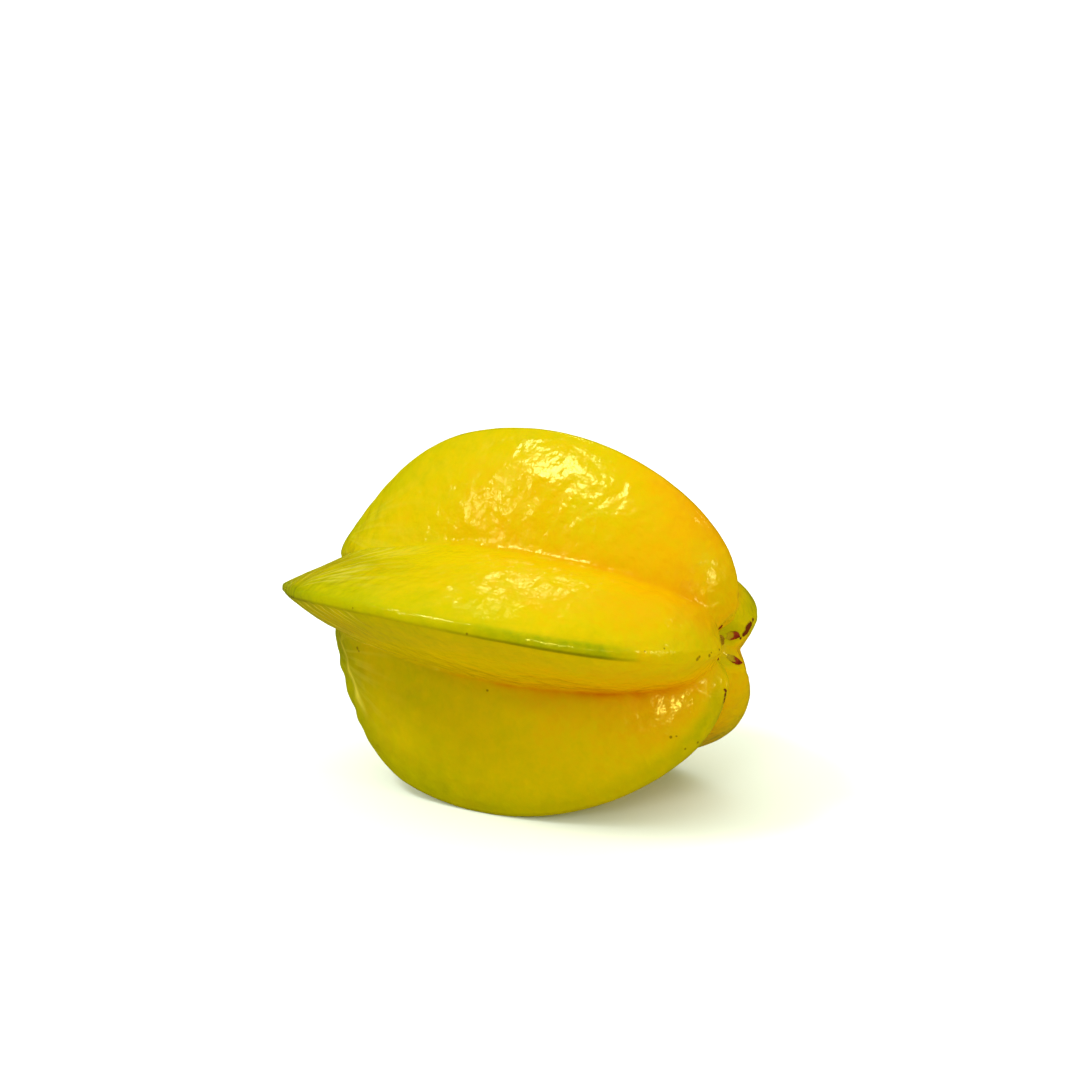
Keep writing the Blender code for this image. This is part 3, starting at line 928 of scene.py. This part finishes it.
def withered_sepal():
    """Leaf that has dried to a thin papery flake.

    The eye sees the skin's own yellow-green at its base, where it has grown together with
    the fruit, and a dull, crumpled red-brown towards its tip.
    """
    material, tree = new_tree("withered_sepal")
    place = add(tree, "ShaderNodeTexCoord").outputs["Object"]
    # Blotches of 0.8 mm between dark and rusty brown.
    blotch = add(tree, "ShaderNodeTexNoise", Vector=place, Scale=scale_of(0.8), Detail=3.0)
    colour = add(
        tree, "ShaderNodeValToRGB",
        {"stops": ((0.30, "#641404"), (0.50, "#94260A"), (0.72, "#AC4A12"))}, Fac=blotch,
    )
    share = add(tree, "ShaderNodeAttribute", {"attribute_name": "share"}).outputs["Fac"]
    dry = add(
        tree, "ShaderNodeMath", {"operation": "MULTIPLY_ADD"}, _0=blotch, _1=0.5, _2=share
    )
    dry = add(tree, "ShaderNodeMapRange", Value=dry, From_Min=0.60, From_Max=0.74)
    colour = add(
        tree, "ShaderNodeMix", {"data_type": "RGBA"}, _0=dry, _6="#C8AE00", _7=colour
    )
    # Crumples of 0.4 mm.
    crumple = add(tree, "ShaderNodeTexNoise", Vector=place, Scale=scale_of(0.4))
    relief = add(tree, "ShaderNodeMath", {"operation": "MULTIPLY"}, _0=crumple, _1=0.12)
    bump = add(tree, "ShaderNodeBump", Height=relief, Distance=MM, Strength=1.0)
    dull = add(
        tree, "ShaderNodeMapRange", Value=blotch, From_Min=0.3, From_Max=0.7, To_Min=0.75,
        To_Max=0.5,
    )
    shader = add(
        tree, "ShaderNodeBsdfPrincipled", Base_Color=colour.outputs[2], Roughness=dull,
        Normal=bump, IOR=1.45, Specular_IOR_Level=0.15,
    )
    add(tree, "ShaderNodeOutputMaterial", Surface=shader)
    return material


sepal_finish = withered_sepal()
FIRST_SEPAL_SEED = 11
for number, rib in enumerate(RIB_NAMES, start=1):
    mesh = sepal_mesh(rib, FIRST_SEPAL_SEED + number - 1)
    sepal = show(f"dried_sepal_{number}", mesh, sepal_finish)
    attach(sepal, "root")
    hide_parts(f"sepal_{number}")

# --------------------------------------------------------------------------------------
# Stub of the stalk.
# The fruit was twisted off its stalk, which left a short woody stub in the middle of the
# pit: a ribbed rod, flared where it joins and torn across its end.
# --------------------------------------------------------------------------------------

STUB_RADIUS = 1.4
STUB_LENGTH = 1.4
# Distance up the stub, and radius there as a share of the full one.
STUB_PROFILE = ((0.0, 1.05), (0.4, 1.02), (0.8, 0.92), (1.1, 0.96), (STUB_LENGTH, 0.80))
STUB_LEAN_DEG = 10.0
STUB_RISE = 0.6
STUB_SIDES = 48
STUB_RINGS = 26
STUB_END_RINGS = 7
# Three ribs and thirteen finer ones run up the stub: how far each stands, as a share.
STUB_RIB = 0.06
STUB_FINE_RIB = 0.025
# How far the torn end slopes and how far its splinters stand, in mm.
STUB_TORN = 0.25
STUB_SPLINTER = 0.15


def stub_mesh():
    """Rings up the stub and over its torn end."""
    heights, shares = zip(*STUB_PROFILE)
    angle = np.linspace(0.0, 2.0 * math.pi, STUB_SIDES, endpoint=False)[None, :]
    height = np.linspace(0.0, STUB_LENGTH, STUB_RINGS)[:, None]
    radius = STUB_RADIUS * np.interp(height, heights, shares)
    ridge = 1.0 + STUB_RIB * np.cos(3.0 * angle + height)
    ridge = ridge + STUB_FINE_RIB * np.cos(13.0 * angle - 2.0 * height)
    over = np.linspace(1.0, 0.0, STUB_END_RINGS + 2)[1:-1, None]
    height = np.concatenate([height, np.full(over.shape, STUB_LENGTH)])
    radius = np.concatenate([radius, over * radius[-1]])
    radius = radius * np.concatenate([ridge, np.repeat(ridge[-1:], len(over), axis=0)])
    torn = STUB_TORN * np.cos(angle - 0.8) * (height / STUB_LENGTH) ** 4
    splinter = np.where(height >= STUB_LENGTH, STUB_SPLINTER, 0.0)
    splinter = splinter * np.cos(7.0 * angle + 9.0 * radius)
    x = STEM_PIT_X + STUB_RISE + height + torn * radius / STUB_RADIUS + splinter
    lean = math.tan(math.radians(STUB_LEAN_DEG)) * height
    points = np.stack([x, radius * np.cos(angle), radius * np.sin(angle) + lean], axis=-1)
    ids, _, quads = tube_faces(*points.shape[:2])
    caps = [ids[0].tolist(), ids[-1, ::-1].tolist()]
    mesh = bpy.data.meshes.new("stalk_stub")
    mesh.from_pydata(((points.reshape(-1, 3) + into_frame) * MM).tolist(), [], quads + caps)
    return mesh


def dry_woody_stalk():
    """Green wood that has dried brown, torn across: dull, streaked along its fibres."""
    material, tree = new_tree("dry_woody_stalk")
    place = add(tree, "ShaderNodeTexCoord").outputs["Object"]
    # Fibres 0.3 mm wide that run along the stalk, drawn ten times as long.
    stretched = add(
        tree, "ShaderNodeVectorMath", {"operation": "MULTIPLY"}, _0=place, _1=(0.1, 1.0, 1.0)
    )
    fibre = add(tree, "ShaderNodeTexNoise", Vector=stretched, Scale=scale_of(0.3), Detail=3.0)
    colour = add(
        tree, "ShaderNodeValToRGB",
        {"stops": ((0.30, "#8A6400"), (0.52, "#B08608"), (0.75, "#C89E18"))}, Fac=fibre,
    )
    relief = add(tree, "ShaderNodeMath", {"operation": "MULTIPLY"}, _0=fibre, _1=0.10)
    bump = add(tree, "ShaderNodeBump", Height=relief, Distance=MM, Strength=1.0)
    dull = add(
        tree, "ShaderNodeMapRange", Value=fibre, From_Min=0.3, From_Max=0.7, To_Min=0.85,
        To_Max=0.65,
    )
    shader = add(
        tree, "ShaderNodeBsdfPrincipled", Base_Color=colour, Roughness=dull, Normal=bump,
        IOR=1.45, Specular_IOR_Level=0.15,
    )
    add(tree, "ShaderNodeOutputMaterial", Surface=shader)
    return material


stalk_stub = show("stalk_stub", stub_mesh(), dry_woody_stalk())
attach(stalk_stub, "root")
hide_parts("stem_stub")

# --------------------------------------------------------------------------------------
# Floor, light and camera.
# A matt white table in a bright room, with windows to the left and right, small panes all
# round that glint in the wax, and a wide soft light over the table.
# --------------------------------------------------------------------------------------


def matt_white_table():
    """Table top in matt white paint.

    The eye sees no gloss and the faintest clouding. The table throws less and warmer light
    back at the fruit than a bare white top would.
    """
    material, tree = new_tree("matt_white_table")
    place = add(tree, "ShaderNodeTexCoord").outputs["Object"]
    # Clouds of 125 mm.
    cloud = add(tree, "ShaderNodeTexNoise", Vector=place, Scale=scale_of(125.0))
    colour = add(
        tree, "ShaderNodeValToRGB", {"stops": ((0.0, "#DFE6E0"), (1.0, "#E1E8E2"))}, Fac=cloud
    )
    bounced = add(tree, "ShaderNodeLightPath").outputs["Is Diffuse Ray"]
    colour = add(
        tree, "ShaderNodeMix", {"data_type": "RGBA"}, _0=bounced, _6=colour, _7="#AEA454"
    )
    shader = add(
        tree, "ShaderNodeBsdfPrincipled", Base_Color=colour.outputs[2], Roughness=0.9,
        Specular_IOR_Level=0.1,
    )
    add(tree, "ShaderNodeOutputMaterial", Surface=shader)
    return material


TABLE_HALF_WIDTH = 20.0
table_mesh = bpy.data.meshes.new("white_table")
table_mesh.from_pydata(
    [
        (x * TABLE_HALF_WIDTH, y * TABLE_HALF_WIDTH, 0.0)
        for x, y in ((-1, -1), (1, -1), (1, 1), (-1, 1))
    ],
    [], [(0, 1, 2, 3)],
)
white_table = show("white_table", table_mesh, matt_white_table())
# The wax mirrors the room's own colours below it, not the table.
white_table.visible_glossy = False
table_only = bpy.data.collections.new("table_only")
table_only.objects.link(white_table)

# Each lamp: compass direction from the front (-Y) towards +X and height in degrees,
# strength, how wide it looks from the fruit in degrees, and what it is for: "all" lights
# everything, "gloss" only glints in the wax, and "table" lights the table alone.
LAMPS = {
    "window": (-41.0, 56.0, 1.22, 14.0, "all"),
    "window_pane": (-46.0, 33.0, 0.20, 8.0, "all"),
    "right_window": (78.0, 24.0, 0.42, 12.0, "all"),
    "right_pane": (82.0, 13.0, 0.14, 14.0, "gloss"),
    "far_window": (-150.0, 46.0, 0.07, 5.0, "gloss"),
    "far_pane": (-138.0, 64.0, 0.06, 4.0, "gloss"),
    "back_pane": (136.0, 50.0, 0.10, 5.0, "gloss"),
    "low_pane": (24.0, 12.0, 0.62, 7.0, "gloss"),
    "low_side_pane": (46.0, 14.0, 0.12, 5.0, "gloss"),
    "table_light": (-40.0, 64.0, 2.4, 140.0, "table"),
    "table_fill": (10.0, 22.0, 1.2, 16.0, "table"),
}
GLINT_COLOUR = "#FFF9BE"
for name, (around, height, strength, width, purpose) in LAMPS.items():
    lamp = bpy.data.lights.new(name, "SUN")
    lamp.energy = strength
    lamp.angle = math.radians(width)
    source = bpy.data.objects.new(name, lamp)
    a, e = math.radians(around), math.radians(height)
    towards = Vector((math.sin(a) * math.cos(e), -math.cos(a) * math.cos(e), math.sin(e)))
    source.rotation_euler = towards.to_track_quat("Z", "Y").to_euler()
    bpy.context.scene.collection.objects.link(source)
    if purpose == "gloss":
        source.visible_diffuse = False
        lamp.color = linear(GLINT_COLOUR)[:3]
    if purpose == "table":
        source.light_linking.receiver_collection = table_only

# The yellow light that the fruit throws on the table. It is the same all over, but shows
# only in the fruit's shadow, because the rest of the table is already full white.
GLOW_STRENGTH = 0.25
glow = bpy.data.lights.new("fruit_glow", "SUN")
glow.energy = GLOW_STRENGTH
glow.color = linear("#F2FF20")[:3]
glow.use_shadow = False
fruit_glow = bpy.data.objects.new("fruit_glow", glow)
bpy.context.scene.collection.objects.link(fruit_glow)
fruit_glow.light_linking.receiver_collection = table_only

# Light of the room by height, from straight down to straight up.
ROOM_LIGHT = ((0.0, "#646440"), (0.50, "#646440"), (0.70, "#CCCCB0"), (1.0, "#F0F0E4"))
# The room as the wax mirrors it: yellow-green light from the table below, dimmer above.
MIRRORED_ROOM = ((0.0, "#6E6E24"), (0.44, "#64641C"), (0.50, "#4C4808"), (1.0, "#4C4808"))
# How bright the room itself looks behind the table: just over full white.
SEEN_ROOM = 1.1
world = bpy.data.worlds.new("bright_room")
bpy.context.scene.world = world
world.use_nodes = True
tree = world.node_tree
tree.nodes.clear()
direction = add(tree, "ShaderNodeTexCoord").outputs["Generated"]
upwards = add(tree, "ShaderNodeSeparateXYZ", Vector=direction).outputs["Z"]
upwards = add(tree, "ShaderNodeMapRange", Value=upwards, From_Min=-1.0)
room = add(tree, "ShaderNodeValToRGB", {"stops": ROOM_LIGHT}, Fac=upwards)
mirrored = add(tree, "ShaderNodeValToRGB", {"stops": MIRRORED_ROOM}, Fac=upwards)
ray = add(tree, "ShaderNodeLightPath")
for ray_kind, seen in (
    ("Is Glossy Ray", mirrored), ("Is Camera Ray", (SEEN_ROOM, SEEN_ROOM, SEEN_ROOM, 1.0)),
):
    room = add(
        tree, "ShaderNodeMix", {"data_type": "RGBA"}, _0=ray.outputs[ray_kind], _6=room,
        _7=seen,
    ).outputs[2]
sky = add(tree, "ShaderNodeBackground", Color=room)
add(tree, "ShaderNodeOutputWorld", Surface=sky)

CAMERA_PLACE = (0.2013, -0.34675, 0.14006)
CAMERA_AIM = (-0.4759, 0.8546, -0.2079)
camera = bpy.data.cameras.new("camera")
camera.lens = 63.33
camera.sensor_width = 36.0
camera.clip_start = 0.01
camera.clip_end = 100.0
camera_stand = bpy.data.objects.new("camera", camera)
camera_stand.location = CAMERA_PLACE
camera_stand.rotation_euler = Vector(CAMERA_AIM).to_track_quat("-Z", "Y").to_euler()
bpy.context.scene.collection.objects.link(camera_stand)
bpy.context.scene.camera = camera_stand
bpy.context.scene.view_settings.view_transform = "Standard"
